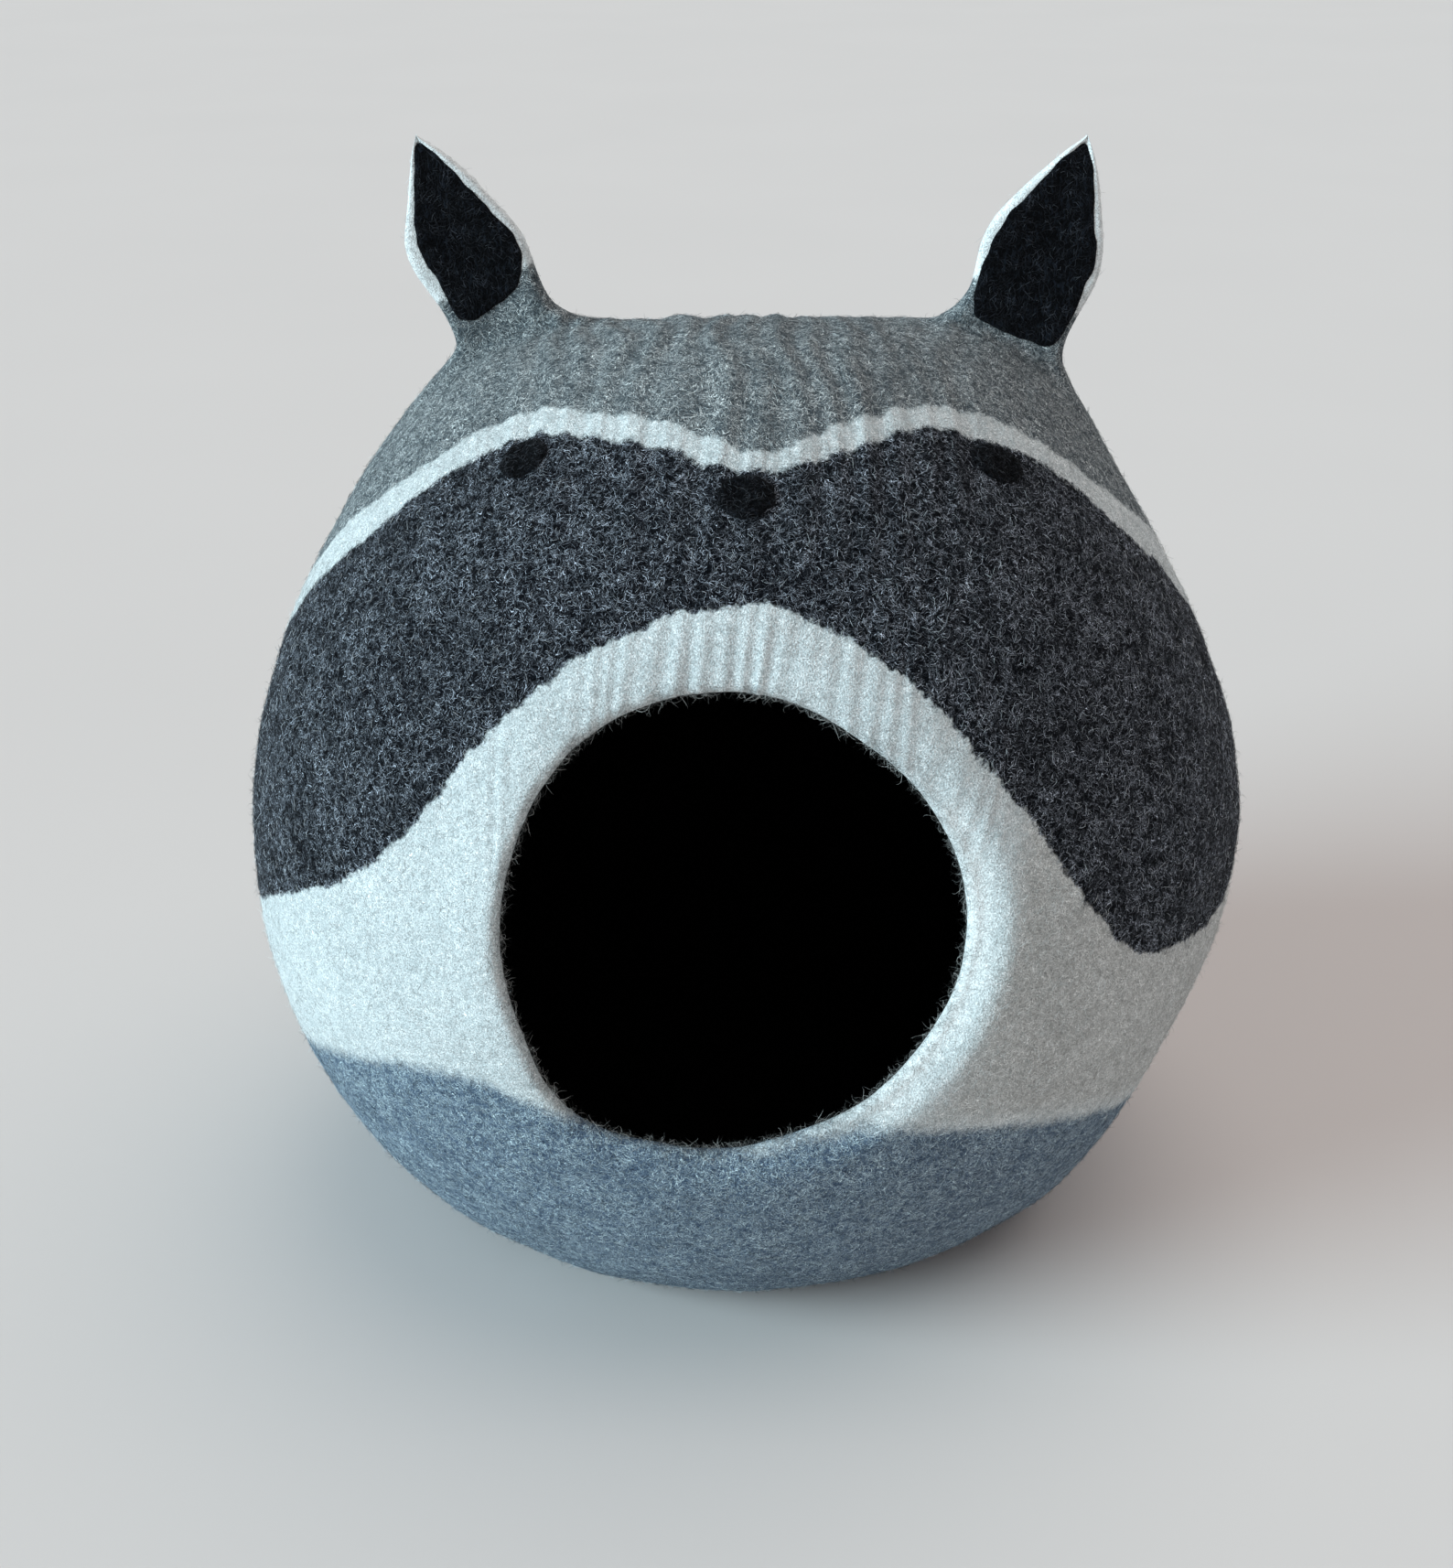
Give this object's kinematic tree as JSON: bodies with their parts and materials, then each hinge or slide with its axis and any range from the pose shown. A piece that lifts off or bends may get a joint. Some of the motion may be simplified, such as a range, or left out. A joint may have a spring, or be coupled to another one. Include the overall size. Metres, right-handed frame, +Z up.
{
  "type": "felt cat cave",
  "caption": "Egg-shaped wool felt pet cave with a flat base, a round rolled entrance in its front, leaf-shaped ears and felt eyes and nose.",
  "frame": {"origin": "centre of the flat base, on the floor", "axes": "+Z up, the entrance faces -Y, the viewer's right is +X"},
  "size_m": [0.46, 0.4046, 0.4909],
  "materials": {
    "wool_shell": "matte wet-felted wool in grey, charcoal and pale bands",
    "black_felt": "matte black wool felt"
  },
  "bodies": {
    "root": {"shell": "wool_shell", "ear_panel_left": "black_felt", "ear_panel_right": "black_felt", "eye_left": "black_felt", "eye_right": "black_felt", "nose": "black_felt"}
  },
  "joints": []
}
